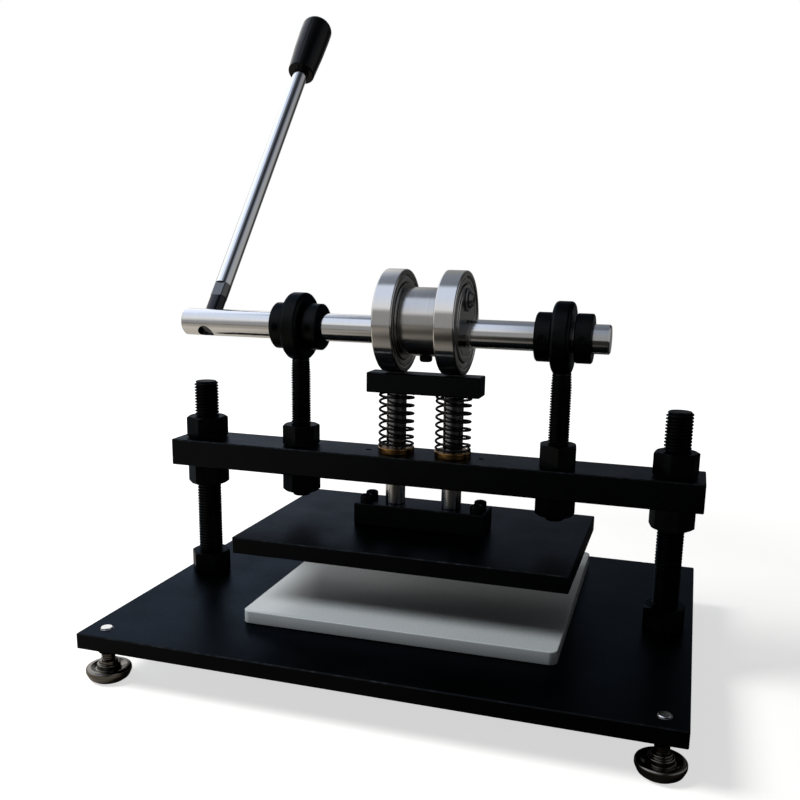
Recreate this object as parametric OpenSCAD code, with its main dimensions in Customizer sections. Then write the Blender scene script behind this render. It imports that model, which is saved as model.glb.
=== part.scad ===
// Manual die cutting machine: a lever turns an eccentric, whose bearings push a guided press plate down.
// Millimetres. +Z is up, +X is to the right, the front faces -Y. The bench is at z = 0.

/* [Base plate] */
// Length of the base plate, left to right
base_l = 432; // [410:1:480]
// Depth of the base plate, front to back
base_w = 310; // [280:1:360]
// Thickness of the base plate
base_t = 12; // [8:0.5:20]
// Edge break on plates and bars
edge_break = 0.8; // [0.3:0.1:1.5]

/* [Levelling feet] */
// Height of the base plate's underside above the bench
foot_h = 27.5; // [24:0.5:34]
// Diameter of a foot's pad at its rim
pad_d = 33; // [27:1:42]
// Diameter of a foot's flat sole
sole_d = 23; // [18:1:26]
// Height of a foot's rim above the bench
pad_h = 10; // [8:0.5:11]
// Radius of the pad's round rim
rim_r = 1.8; // [1:0.1:2.5]
// Depth of the dish in the pad's top
dish_depth = 1.6; // [0.5:0.1:3]
// Diameter of the lower step of a foot's neck
neck_d = 17; // [14:0.5:20]
// Height of each step of a foot's neck
neck_step = 2.6; // [1.5:0.1:3]
// Thread diameter of a foot's stud
stud_d = 10; // [8:1:12]
// How far a stud's tip stands above the base plate
stud_tip = 1.5; // [0.5:0.5:6]
// Distance from a foot's axis to the plate's edges
foot_inset = 15.5; // [10:0.5:30]
// Across flats of the lock nuts under the base plate
foot_nut_af = 19; // [17:1:24]
// Height of the lock nuts under the base plate
foot_nut_h = 6; // [4:0.5:7]

/* [Posts] */
// Distance of a post's axis from the end of the base plate
post_inset = 22; // [19:0.5:34]
// Distance of the post line behind the middle of the base plate
post_y = 4; // [0:0.5:20]
// Thread diameter of the posts
post_d = 20; // [16:1:24]
// Length of the posts above the crossbeam
post_rise = 48; // [30:1:80]
// Length of the posts below their lowest nut
post_tail = 2; // [0.5:0.5:3]
// Across flats of the post nuts
post_nut_af = 30; // [28:1:36]
// Height of the post nuts
post_nut_h = 18; // [14:1:22]
// Height of the thin post nuts under the base plate
jam_nut_h = 12; // [8:1:16]
// Turn of the left and right post nuts under the base plate
under_base_turn = [12, -9]; // [-60:1:60]
// Turn of the left and right post nuts on the base plate
on_base_turn = [8, 28]; // [-60:1:60]
// Turn of the left and right post nuts under the crossbeam
under_beam_turn = [20, -14]; // [-60:1:60]
// Turn of the left and right post nuts on the crossbeam
on_beam_turn = [33, 17]; // [-60:1:60]

/* [Crossbeam] */
// Length of the crossbeam past each post's axis
beam_overhang = 22; // [18:0.5:40]
// Depth of the crossbeam, front to back
beam_w = 45; // [40:1:60]
// Thickness of the crossbeam
beam_t = 22; // [18:1:28]
// Opening between the base plate and the crossbeam
beam_gap = 97.5; // [88:0.5:112]
// Distance between the two tapped holes in the crossbeam's top
tap_span = 94; // [84:1:104]
// Wall diameter of the tapped holes
tap_d = 5; // [4:0.5:6.5]
// Depth of the tapped holes
tap_depth = 14; // [8:1:16]

/* [Eye bolts] */
// Distance between the two eye bolts
eye_span = 213; // [190:1:260]
// Outside diameter of an eye
eye_d = 54; // [44:1:64]
// Width of an eye along the shaft
eye_w = 14.5; // [12:0.5:20]
// Rounding of an eye's rim
eye_rim = 2.8; // [0.5:0.1:3]
// Diameter of the neck where it leaves the eye
eye_root_d = 14; // [12:0.5:16]
// Length of the neck, which tapers out to the thread
eye_neck_l = 13; // [8:0.5:20]
// Thread diameter of the shanks
eye_shank_d = 16; // [14:1:20]
// Across flats of the eye bolt nuts
eye_nut_af = 27; // [24:1:30]
// Height of the eye bolt nuts
eye_nut_h = 17; // [12:1:18]
// Length of the shanks below their lower nuts
eye_tail = 4; // [2:0.5:6]
// Turn of the left and right eye bolt nuts under the crossbeam
eye_low_turn = [24, 17]; // [-60:1:60]
// Turn of the left and right eye bolt nuts on the crossbeam
eye_top_turn = [35, 40]; // [-60:1:60]

/* [Cross shaft] */
// Height of the shaft's axis above the crossbeam
shaft_h = 97.5; // [90:0.5:108]
// Diameter of the shaft
shaft_d = 22; // [18:0.5:24]
// Length of the shaft beyond the left eye
shaft_left = 103.5; // [80:0.5:140]
// Length of the shaft beyond the right eye
shaft_right = 34.5; // [28:0.5:60]
// Chamfer at the shaft's ends
shaft_chamfer = 1; // [0.5:0.1:2]

/* [Shaft collars] */
// Outside diameter of a collar
collar_d = 37; // [34:1:44]
// Width of a collar
collar_w = 12.5; // [10:0.5:16]
// Side play between an eye and the collars that locate the shaft
collar_play = 0.3; // [0.2:0.05:0.8]
// Gap between the right eye and its outer collar
collar_slack = 2; // [0.5:0.1:4]
// Thread diameter of the collar set screws
set_screw_d = 6; // [4:0.5:8]
// Depth of a set screw's end below the collar's surface
set_screw_sink = 1.2; // [0.5:0.1:2]

/* [Lever] */
// Diameter of the lever rod
lever_d = 14; // [13:0.5:16]
// Height of the lever's shoulder above its neck
lever_step = 0.25; // [0.25:0.25:2]
// Lean of the lever behind upright at rest, in degrees
lever_lean = 39.6; // [20:0.1:50]
// Length from the shaft's axis to the end of the grip
lever_l = 367; // [280:1:460]
// Distance from the shaft's axis to the lever's shoulder
lever_shoulder = 24.5; // [20:0.5:40]
// Distance from the shaft's axis to the end of the lever's neck
lever_tip = 9.5; // [5:0.5:10]
// Distance from the shaft's left end to the lever
lever_inset = 21; // [14:0.5:34]
// Across the lever's wrench flats
flat_af = 11; // [10:0.5:12]
// Length of the wrench flats
flat_l = 13.5; // [8:0.5:20]
// Turn of the wrench flats about the lever, in degrees
flat_turn = 0; // [0:1:90]

/* [Grip] */
// Length of the grip
grip_l = 70; // [60:1:110]
// Diameter of the grip at the lever end
grip_small_d = 25.5; // [21:0.5:28]
// Diameter of the grip near its domed end
grip_d = 30; // [28:0.5:38]
// Rounding of the grip's domed end
grip_dome = 7; // [6:0.5:13]
// Depth of the grip's socket on the lever
grip_socket = 50; // [30:1:52]

/* [Eccentric hub] */
// Offset of the hub's centre from the shaft's axis
throw = 7.5; // [5:0.25:9]
// Place of the hub's middle along the shaft
hub_x = 0; // [-6:0.5:6]
// Height of the drum's shoulders above the bearing seats
drum_shoulder = 1.5; // [1:0.25:3.5]
// Width of the drum between the bearings
drum_w = 32; // [26:0.5:40]
// Distance of the retaining screws in from the bearing seats
retain_inset = 7; // [5:0.25:8]
// Diameter of the retaining washers
retain_washer_d = 18; // [16:0.5:18]
// Thickness of the retaining washers
retain_washer_t = 1.6; // [1:0.1:2.5]
// Head diameter of the retaining screws
retain_head_d = 13; // [10:0.5:14]
// Head height of the retaining screws
retain_head_h = 3.4; // [3:0.1:4.5]
// Depth of the flat that seats the lock screw's head
spot_depth = 1.5; // [0.5:0.1:2.5]
// Depth of the lock screw's point in the shaft
lock_bite = 2; // [1:0.1:3]

/* [Bearings] */
// Outside diameter of a bearing
bearing_d = 80; // [76:0.5:84]
// Bore of a bearing
bearing_bore = 50; // [48:0.5:52]
// Width of a bearing
bearing_w = 16; // [14:0.5:20]
// Wall of the bearings' inner and outer rings at their shoulders
ring_wall = 4.5; // [3.5:0.25:5]
// Depth of the ball grooves in the rings
groove_depth = 1.35; // [0.8:0.05:1.6]
// Number of balls in a bearing
ball_count = 13; // [9:1:15]
// Thickness of a bearing shield
shield_t = 0.8; // [0.5:0.1:1]
// Depth of a shield below the bearing's face
shield_sink = 0.7; // [0.3:0.1:1]

/* [Ram] */
// Length of the pressure bar
bar_l = 92; // [84:1:110]
// Depth of the pressure bar, front to back
bar_w = 20; // [18:0.5:30]
// Thickness of the pressure bar
bar_t = 16; // [14:0.5:20]
// Diameter of the guide columns
column_d = 16; // [13:0.5:17]
// Distance between the guide columns
column_span = 47; // [42:0.5:56]
// Length of the columns between the bar and the block
column_l = 90.5; // [82:0.5:102]
// Diameter of the columns' end spigots
spigot_d = 10; // [8:0.5:11]
// Metal left behind each spigot in the bar and the block
spigot_floor = 4.5; // [3:0.5:6]
// Length of the ram block
block_l = 108; // [98:1:130]
// Depth of the ram block, front to back
block_w = 30; // [28:1:44]
// Thickness of the ram block
block_t = 18; // [14:0.5:24]
// Length of the press plate
plate_l = 260; // [220:1:300]
// Depth of the press plate, front to back
plate_w = 160; // [120:1:200]
// Thickness of the press plate
plate_t = 13; // [12:0.5:20]
// Distance of the block screws from the block's edges
block_screw_inset = 8; // [7:0.5:10]
// Length of the block screws in the press plate
screw_bite = 9; // [6:0.5:10]

/* [Cap screws] */
// Thread diameter of the cap screws
screw_d = 6; // [5:0.5:6.5]
// Head diameter of the cap screws
screw_head_d = 10; // [9:0.5:11]
// Head height of the cap screws
screw_head_h = 6; // [5:0.5:7]
// Across flats of the cap screws' sockets
screw_socket_af = 5; // [3:0.5:5]
// Depth of the cap screws' sockets
screw_socket_depth = 3; // [2:0.5:4]

/* [Bushes and springs] */
// Outside diameter of a guide bush in the crossbeam
bush_d = 20; // [18.5:0.5:24]
// Height of a guide bush's flange
flange_h = 5; // [4:0.5:8]
// Outside diameter of a spring
spring_d = 29; // [27:0.5:32]
// Width of a guide bush's flange past the spring that it seats
flange_lip = 0.25; // [0:0.05:2]
// Wire diameter of a spring
wire_d = 2; // [1.4:0.1:2.4]
// Turns of a spring
spring_turns = 6; // [4:1:7]

/* [Cutting board] */
// Length of the cutting board
board_l = 238; // [200:1:260]
// Depth of the cutting board, front to back
board_w = 229; // [200:1:250]
// Thickness of the cutting board
board_t = 10; // [6:0.5:14]
// Corner radius of the cutting board
board_r = 6; // [3:0.5:16]
// Place of the board's middle to the right of the machine's middle
board_x = 6; // [-15:0.5:15]
// Place of the board's middle behind the middle of the base plate
board_y = 19.5; // [-20:0.5:22]
// Turn of the loose board on the base plate, in degrees
board_turn = 0.8; // [0:0.1:3]

/* [Fits] */
// Radial clearance of threads and of parts that are fixed together
fixed_clear = 0.04; // [0.02:0.01:0.08]
// Radial clearance of parts that turn or slide in each other
run_clear = 0.05; // [0.02:0.01:0.1]
// Gap between the bearings and the pressure bar at rest
roller_gap = 0.3; // [0.1:0.05:0.5]
// Gap between a spring's top end and the pressure bar at rest
spring_gap = 0.1; // [0.05:0.05:0.3]

/* [Hidden] */
$fn = 64;

// Colours
black_paint = "#1d1e21";
black_oxide = "#26272a";
bright_steel = "#c9cacb";
ground_steel = "#b4b4b2";
chrome = "#dcdddf";
brass = "#c89b45";
nickel = "#b9b2a8";
white_plastic = "#eceeee";
black_plastic = "#101114";

// Cuts run this far past the faces that they open
over = 1;
// Chamfers of turned edges: threads, small steps, rings and bushes
thread_chamfer = 1.2;
small_chamfer = 0.5;
ring_chamfer = 0.9;
// Wall of the foot lock nuts at their small end
foot_nut_lip = 1.5;
// A hexagon's corners are this much farther out than its flats
hex_corner = 1 / cos(30);
left = -1;
right = 1;
sides = [left, right];

// Heights above the bench
base_top = foot_h + base_t;
beam_z = base_top + beam_gap;
beam_top = beam_z + beam_t;
bush_top = beam_top + flange_h;
shaft_z = beam_top + shaft_h;
hub_z = shaft_z + throw;
bar_top = hub_z - bearing_d / 2 - roller_gap;
bar_z = bar_top - bar_t;
block_top = bar_z - column_l;
block_z = block_top - block_t;
plate_z = block_z - plate_t;

// Places along the crossbeam and the shaft
post_span = base_l - 2 * post_inset;
beam_l = post_span + 2 * beam_overhang;
eye_x = eye_span / 2;
shaft_x0 = -eye_x - shaft_left;
shaft_l = shaft_left + eye_span + shaft_right;
lever_x = shaft_x0 + lever_inset;
lever_neck_d = lever_d - 2 * lever_step;
collar_near = eye_w / 2 + collar_play;
bearing_off = (drum_w + bearing_w) / 2;
hub_l = drum_w + 2 * bearing_w;
drum_d = bearing_bore + 2 * drum_shoulder;
retain_r = bearing_bore / 2 - retain_inset;

// Inside the bearings
inner_ring_d = bearing_bore + 2 * ring_wall;
outer_ring_d = bearing_d - 2 * ring_wall;
ring_space = (outer_ring_d - inner_ring_d) / 2;
pitch_r = (inner_ring_d + outer_ring_d) / 4;
ball_d = ring_space + 2 * groove_depth;
ball_clear = 0.08;
pocket_clear = 0.2;
shield_gap = 0.5;
cage_gap = 0.5;
cage_wall = ring_space / 2;
cage_w = bearing_w - 2 * (shield_sink + shield_t + cage_gap);

// Springs: their seats, bends at the wire's ends, rings of the tube and its sides
flange_d = spring_d + 2 * flange_lip;
spring_r = (spring_d - wire_d) / 2;
spring_h = bar_z - spring_gap - bush_top;
bend_r = wire_d;
bend_steps = 3;
curl_rings = 8;
tube_sides = 6;

// Outline of a rectangle with cut corners, centred
function cut_rect(a, b, c) = [
    [-a / 2 + c, -b / 2], [a / 2 - c, -b / 2], [a / 2, -b / 2 + c], [a / 2, b / 2 - c],
    [a / 2 - c, b / 2], [-a / 2 + c, b / 2], [-a / 2, b / 2 - c], [-a / 2, -b / 2 + c]
];

// Plate or bar with every edge broken, standing on z = 0
module broken_box(l, w, h, c) {
    intersection() {
        linear_extrude(h) polygon(cut_rect(l, w, c));
        translate([0, w / 2, h / 2]) rotate([90, 0, 0]) linear_extrude(w) polygon(cut_rect(l, h, c));
        translate([-l / 2, 0, h / 2]) rotate([90, 0, 90]) linear_extrude(l) polygon(cut_rect(w, h, c));
    }
}

// Round rod with chamfered ends, standing on z = 0
module chamfered_rod(d, l, c) {
    rotate_extrude() polygon([[0, 0], [d / 2 - c, 0], [d / 2, c], [d / 2, l - c], [d / 2 - c, l], [0, l]]);
}

// Turned ring about Z, centred on z = 0, with its outer edges broken by c and its inner edges by b
module turned_ring(outer_d, inner_d, w, c, b = 0) {
    rotate_extrude() ring_outline(outer_d, inner_d, w, c, b);
}

module ring_outline(outer_d, inner_d, w, c, b) {
    polygon([
        [inner_d / 2 + b, -w / 2], [outer_d / 2 - c, -w / 2], [outer_d / 2, -w / 2 + c],
        [outer_d / 2, w / 2 - c], [outer_d / 2 - c, w / 2], [inner_d / 2 + b, w / 2],
        [inner_d / 2, w / 2 - b], [inner_d / 2, -w / 2 + b]
    ]);
}

// Hexagon nut standing on z = 0, with both ends chamfered
module hex_nut(af, h, thread_d) {
    corner_r = af * hex_corner / 2;
    chamfer_h = (corner_r - af / 2) * tan(30);
    difference() {
        intersection() {
            cylinder(d = af * hex_corner, h = h, $fn = 6);
            rotate_extrude() polygon([
                [0, 0], [af / 2, 0], [corner_r, chamfer_h],
                [corner_r, h - chamfer_h], [af / 2, h], [0, h]
            ]);
        }
        bore(thread_d + 2 * fixed_clear, 0, h);
    }
}

// Through bore about Z from z0 to z1
module bore(d, z0, z1) {
    translate([0, 0, z0 - over]) cylinder(d = d, h = z1 - z0 + 2 * over);
}

// Hexagon socket cut down from z = 0
module hex_socket(af, depth) {
    translate([0, 0, -depth]) cylinder(d = af * hex_corner, h = depth + over, $fn = 6);
}

// Socket head cap screw: head above z = 0, thread of length l below
module cap_screw(l) {
    difference() {
        union() {
            translate([0, 0, -l]) chamfered_rod(screw_d, l + screw_head_h / 2, small_chamfer);
            rotate_extrude() polygon([
                [0, 0], [screw_head_d / 2, 0], [screw_head_d / 2, screw_head_h - small_chamfer],
                [screw_head_d / 2 - small_chamfer, screw_head_h], [0, screw_head_h]
            ]);
        }
        translate([0, 0, screw_head_h]) hex_socket(screw_socket_af, screw_socket_depth);
    }
}

// Places of things that come in pairs on the crossbeam's line
module at_posts(z, turns = [0, 0]) {
    for (i = [0, 1]) translate([sides[i] * post_span / 2, post_y, z]) rotate([0, 0, turns[i]]) children();
}

module at_eyes(z, turns = [0, 0]) {
    for (i = [0, 1]) translate([sides[i] * eye_x, post_y, z]) rotate([0, 0, turns[i]]) children();
}

module at_columns(z) {
    for (s = sides) translate([s * column_span / 2, post_y, z]) children();
}

module at_block_screws(z) {
    for (sx = sides, sy = sides)
        translate([
            sx * (block_l / 2 - block_screw_inset),
            post_y + sy * (block_w / 2 - block_screw_inset),
            z
        ]) children();
}

module at_feet(z) {
    for (sx = sides, sy = sides)
        translate([sx * (base_l / 2 - foot_inset), sy * (base_w / 2 - foot_inset), z]) children();
}

// Turns a shape made about Z so that it lies along the shaft at place x and height z
module along_shaft(x, z) {
    translate([x, post_y, z]) rotate([0, 90, 0]) children();
}

module base_plate() {
    color(black_paint) difference() {
        translate([0, 0, foot_h]) broken_box(base_l, base_w, base_t, edge_break);
        at_posts(0) bore(post_d + 2 * fixed_clear, foot_h, base_top);
        at_feet(0) bore(stud_d + 2 * run_clear, foot_h, base_top);
    }
}

// Levelling foot: a dished pad with a round rim, a stepped neck and a stud up through the base plate
module foot(sx, sy) {
    tip_z = base_top + stud_tip;
    rim_x = pad_d / 2 - rim_r;
    step_z = pad_h + neck_step;
    neck_top = step_z + neck_step;
    upper_neck_d = (neck_d + stud_d) / 2;
    color(nickel)
        translate([sx * (base_l / 2 - foot_inset), sy * (base_w / 2 - foot_inset), 0])
            rotate_extrude() {
                polygon([
                    [0, 0], [sole_d / 2, 0], [pad_d / 2 - rim_r / 2, pad_h - 2 * rim_r], [rim_x, pad_h],
                    [neck_d / 2, pad_h - dish_depth], [neck_d / 2, step_z], [upper_neck_d / 2, step_z],
                    [upper_neck_d / 2, neck_top], [stud_d / 2, neck_top], [stud_d / 2, tip_z - small_chamfer],
                    [stud_d / 2 - small_chamfer, tip_z], [0, tip_z]
                ]);
                translate([rim_x, pad_h - rim_r]) circle(rim_r);
            }
}

// Lock nut on each stud: a hexagon under the base plate that tapers down to the stud
module foot_lock_nuts() {
    color(black_oxide) at_feet(foot_h - foot_nut_h) difference() {
        intersection() {
            cylinder(d = foot_nut_af * hex_corner, h = foot_nut_h, $fn = 6);
            cylinder(d1 = stud_d + 2 * foot_nut_lip, d2 = foot_nut_af * hex_corner, h = foot_nut_h);
        }
        bore(stud_d + 2 * run_clear, 0, foot_nut_h);
    }
}

// Threaded post, shown at its major diameter
module post(s) {
    z0 = foot_h - jam_nut_h - post_tail;
    color(black_oxide) translate([s * post_span / 2, post_y, z0])
        chamfered_rod(post_d, beam_top + post_rise - z0, thread_chamfer);
}

module post_nuts(z, h, turns) {
    color(black_oxide) at_posts(z, turns) hex_nut(post_nut_af, h, post_d);
}

module crossbeam() {
    color(black_paint) difference() {
        translate([0, post_y, beam_z]) broken_box(beam_l, beam_w, beam_t, edge_break);
        at_posts(0) bore(post_d + 2 * fixed_clear, beam_z, beam_top);
        at_eyes(0) bore(eye_shank_d + 2 * fixed_clear, beam_z, beam_top);
        at_columns(0) bore(bush_d + 2 * fixed_clear, beam_z, beam_top);
        for (s = sides)
            translate([s * tap_span / 2, post_y, beam_top - tap_depth])
                cylinder(d = tap_d, h = tap_depth + over);
    }
}

// Eye bolt: a rounded ring about the shaft, a tapering neck and a threaded shank through the crossbeam
module eye_bolt(s) {
    root_z = -eye_d / 2 + eye_rim;
    thread_z = root_z - eye_neck_l;
    end_z = beam_z - eye_nut_h - eye_tail - shaft_z;
    color(black_oxide) translate([s * eye_x, post_y, shaft_z]) difference() {
        union() {
            rotate([0, 90, 0]) turned_ring(eye_d, shaft_d, eye_w, eye_rim);
            rotate_extrude() polygon([
                [0, root_z], [eye_root_d / 2, root_z], [eye_shank_d / 2, thread_z],
                [eye_shank_d / 2, end_z + thread_chamfer],
                [eye_shank_d / 2 - thread_chamfer, end_z], [0, end_z]
            ]);
        }
        rotate([0, 90, 0]) bore(shaft_d + 2 * run_clear, -eye_root_d, eye_root_d);
    }
}

module eye_nuts(z, turns) {
    color(black_oxide) at_eyes(z, turns) hex_nut(eye_nut_af, eye_nut_h, eye_shank_d);
}

// Flanged bush that guides a column and seats its spring
module guide_bush(s) {
    inner = column_d / 2 + run_clear;
    color(brass) translate([s * column_span / 2, post_y, 0]) rotate_extrude() polygon([
        [inner, beam_z], [bush_d / 2, beam_z], [bush_d / 2, beam_top], [flange_d / 2, beam_top],
        [flange_d / 2, bush_top], [inner, bush_top]
    ]);
}

// A spring's wire: an upright end, a bend, the curls, a bend and an upright end
// Each entry is the turn about the column, the height and the slope of the wire, where 90 is upright
// The wire winds to the left: seen from above, it turns clockwise on its way up
function bend_turn(a) = bend_r * (1 - sin(a)) / spring_r * 180 / PI;
curl_z0 = wire_d + bend_r;
curl_rise = spring_h - 2 * curl_z0;
curl_turn = 360 * spring_turns;
curl_slope = atan(curl_rise / (curl_turn * PI / 180 * spring_r));
wire_start = concat(
    [[0, 0, 90]],
    [for (i = [0 : bend_steps - 1]) let (a = 90 - 90 * i / bend_steps)
        [bend_turn(a), wire_d + bend_r * cos(a), a]]
);
wire_curls = [for (i = [0 : curl_rings * spring_turns]) let (part = i / (curl_rings * spring_turns))
    [bend_turn(0) + part * curl_turn, curl_z0 + part * curl_rise, curl_slope]];
wire_end = [for (i = [len(wire_start) - 1 : -1 : 0]) let (p = wire_start[i])
    [2 * bend_turn(0) + curl_turn - p[0], spring_h - p[1], p[2]]];
wire_path = concat(wire_start, wire_curls, wire_end);

function wire_point(p) = [spring_r * cos(p[0]), -spring_r * sin(p[0]), p[1]];

function wire_ring(p) =
    let (outward = [cos(p[0]), -sin(p[0]), 0])
    let (across = [sin(p[0]) * sin(p[2]), cos(p[0]) * sin(p[2]), cos(p[2])])
    [for (k = [0 : tube_sides - 1]) let (a = 360 * k / tube_sides)
        wire_point(p) + wire_d / 2 * (cos(a) * outward - sin(a) * across)];

// Least distance between stretches of the wire that aren't neighbours, less the wire itself
wire_points = [for (p = wire_path) wire_point(p)];
neighbours = curl_rings / 2;
wire_gap = min([for (i = [0 : len(wire_points) - 1], j = [i + neighbours + 1 : 1 : len(wire_points) - 1])
    norm(wire_points[i] - wire_points[j])]) - wire_d;

module spring(s) {
    rings = len(wire_path);
    last = (rings - 1) * tube_sides;
    echo(least_spring_gap_mm = wire_gap);
    color(black_oxide) translate([s * column_span / 2, post_y, bush_top])
        polyhedron(
            points = [for (p = wire_path) each wire_ring(p)],
            faces = concat(
                [for (k = [1 : tube_sides - 2]) [0, k, k + 1]],
                [for (i = [0 : rings - 2], k = [0 : tube_sides - 1], half = [0, 1])
                    let (a = i * tube_sides + k, b = i * tube_sides + (k + 1) % tube_sides)
                    half == 0 ? [a, a + tube_sides, b] : [b, a + tube_sides, b + tube_sides]],
                [for (k = [1 : tube_sides - 2]) [last, last + k + 1, last + k]]
            )
        );
}

module cross_shaft() {
    dimple_d = screw_d + 2 * fixed_clear;
    color(bright_steel) difference() {
        along_shaft(shaft_x0, shaft_z) chamfered_rod(shaft_d, shaft_l, shaft_chamfer);
        at_lever() bore(lever_neck_d + 2 * fixed_clear, -shaft_d / 2, shaft_d / 2);
        translate([hub_x, post_y, shaft_z - shaft_d / 2 - over]) cylinder(d = dimple_d, h = lock_bite + over);
    }
}

// Turns a shape made about Z onto the lever's axis, with z = 0 on the shaft's axis
module at_lever() {
    translate([lever_x, post_y, shaft_z]) rotate([-lever_lean, 0, 0]) children();
}

module lever_rod() {
    end_z = lever_l - grip_l + grip_socket;
    color(chrome) at_lever() difference() {
        rotate_extrude() polygon([
            [0, -lever_tip], [lever_neck_d / 2, -lever_tip], [lever_neck_d / 2, lever_shoulder],
            [lever_d / 2, lever_shoulder], [lever_d / 2, end_z - small_chamfer],
            [lever_d / 2 - small_chamfer, end_z], [0, end_z]
        ]);
        for (s = sides) rotate([0, 0, flat_turn])
            translate([-lever_d / 2, s > 0 ? flat_af / 2 : -flat_af / 2 - lever_d, lever_shoulder - over])
                cube([lever_d, lever_d, flat_l + over]);
    }
}

// Tapered grip with a domed end, pushed onto the lever
module lever_grip() {
    color(black_plastic) at_lever() translate([0, 0, lever_l - grip_l]) difference() {
        rotate_extrude() intersection() {
            union() {
                polygon([
                    [0, 0], [grip_small_d / 2 - small_chamfer, 0], [grip_small_d / 2, small_chamfer],
                    [grip_d / 2, grip_l - grip_dome], [grip_d / 2 - grip_dome, grip_l], [0, grip_l]
                ]);
                translate([grip_d / 2 - grip_dome, grip_l - grip_dome]) circle(grip_dome);
            }
            square([grip_d, grip_l]);
        }
        translate([0, 0, -over])
            cylinder(d = lever_d + 2 * fixed_clear, h = grip_socket + over + fixed_clear);
    }
}

// Middles of the four collars along the shaft
left_outer_x = -eye_x - collar_near - collar_w / 2;
left_inner_x = -eye_x + collar_near + collar_w / 2;
right_inner_x = eye_x - collar_near - collar_w / 2;
right_outer_x = eye_x + eye_w / 2 + collar_slack + collar_w / 2;
collar_xs = [left_outer_x, left_inner_x, right_inner_x, right_outer_x];

// Turns a shape made about Z so that it points out of the shaft to the front
module at_set_screw(x) {
    translate([x, post_y, shaft_z]) rotate([90, 0, 0]) children();
}

module collar(x) {
    color(black_oxide) difference() {
        along_shaft(x, shaft_z) turned_ring(collar_d, shaft_d + 2 * fixed_clear, collar_w, ring_chamfer);
        at_set_screw(x) cylinder(d = set_screw_d + 2 * fixed_clear, h = collar_d);
    }
}

module collar_set_screws() {
    start = shaft_d / 2 + fixed_clear;
    end = collar_d / 2 - set_screw_sink;
    color(black_oxide) for (x = collar_xs) at_set_screw(x) difference() {
        translate([0, 0, start]) chamfered_rod(set_screw_d, end - start, small_chamfer);
        translate([0, 0, end]) hex_socket(set_screw_d / 2, (end - start) / 2);
    }
}

// Places of the retaining screws on the hub's two end faces, pointing outwards
module at_hub_ends() {
    for (s = sides)
        translate([hub_x + s * hub_l / 2, post_y, hub_z + retain_r]) rotate([0, s * 90, 0]) children();
}

// Turned drum with a bearing seat at each end and a bore that lies off its centre
module eccentric_hub() {
    seat_r = bearing_bore / 2 - fixed_clear;
    drum_r = drum_d / 2;
    color(ground_steel) difference() {
        along_shaft(hub_x, hub_z) rotate_extrude() polygon([
            [0, -hub_l / 2], [seat_r - small_chamfer, -hub_l / 2], [seat_r, -hub_l / 2 + small_chamfer],
            [seat_r, -drum_w / 2], [drum_r - small_chamfer, -drum_w / 2],
            [drum_r, -drum_w / 2 + small_chamfer], [drum_r, drum_w / 2 - small_chamfer],
            [drum_r - small_chamfer, drum_w / 2], [seat_r, drum_w / 2],
            [seat_r, hub_l / 2 - small_chamfer], [seat_r - small_chamfer, hub_l / 2], [0, hub_l / 2]
        ]);
        along_shaft(hub_x, shaft_z) bore(shaft_d + 2 * fixed_clear, -hub_l / 2, hub_l / 2);
        translate([hub_x, post_y, lock_seat_z - drum_r])
            cylinder(d = screw_head_d + 2 * small_chamfer, h = drum_r);
        translate([hub_x, post_y, lock_seat_z - over])
            cylinder(d = screw_d + 2 * fixed_clear, h = shaft_z - lock_seat_z + over);
        at_hub_ends() translate([0, 0, -retain_l])
            cylinder(d = screw_d + 2 * fixed_clear, h = retain_l + over);
    }
}

// Height of the flat under the lock screw's head, and length of the retaining screws in the hub
lock_seat_z = hub_z - drum_d / 2 + spot_depth;
retain_l = bearing_w;

module hub_lock_screw() {
    lock_l = shaft_z - shaft_d / 2 + lock_bite - lock_seat_z - fixed_clear;
    color(black_oxide) translate([hub_x, post_y, lock_seat_z]) rotate([180, 0, 0]) cap_screw(lock_l);
}

module retaining_washers() {
    color(ground_steel) at_hub_ends() translate([0, 0, retain_washer_t / 2])
        turned_ring(retain_washer_d, screw_d + 2 * fixed_clear, retain_washer_t, retain_washer_t / 4);
}

module retaining_screws() {
    color(ground_steel) at_hub_ends() translate([0, 0, retain_washer_t]) difference() {
        rotate_extrude() polygon([
            [0, -retain_l], [screw_d / 2 - small_chamfer, -retain_l], [screw_d / 2, small_chamfer - retain_l],
            [screw_d / 2, 0], [retain_head_d / 2, 0], [retain_head_d / 2, retain_head_h / 3],
            [retain_head_d / 3, retain_head_h], [0, retain_head_h]
        ]);
        translate([0, 0, retain_head_h]) hex_socket(screw_d * 2 / 3, retain_head_h / 2);
    }
}

module inner_ring(s) {
    color(ground_steel) along_shaft(hub_x + s * bearing_off, hub_z) rotate_extrude() difference() {
        ring_outline(inner_ring_d, bearing_bore, bearing_w, small_chamfer, ring_chamfer);
        translate([pitch_r, 0]) circle(d = ball_d + 2 * ball_clear);
    }
}

module outer_ring(s) {
    color(ground_steel) along_shaft(hub_x + s * bearing_off, hub_z) rotate_extrude() difference() {
        ring_outline(bearing_d, outer_ring_d, bearing_w, ring_chamfer, small_chamfer);
        translate([pitch_r, 0]) circle(d = ball_d + 2 * ball_clear);
    }
}

// Places of a bearing's balls, with Z pointing out of the bearing's axis
module at_balls(s) {
    along_shaft(hub_x + s * bearing_off, hub_z)
        for (i = [0 : ball_count - 1]) rotate([0, 0, 360 * i / ball_count])
            translate([pitch_r, 0, 0]) rotate([0, 90, 0]) children();
}

module bearing_balls(s) {
    color(bright_steel) at_balls(s) sphere(d = ball_d);
}

module bearing_cage(s) {
    color(brass) difference() {
        along_shaft(hub_x + s * bearing_off, hub_z)
            turned_ring(2 * pitch_r + cage_wall, 2 * pitch_r - cage_wall, cage_w, 0);
        at_balls(s) cylinder(d = ball_d + 2 * pocket_clear, h = ball_d, center = true);
    }
}

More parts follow.
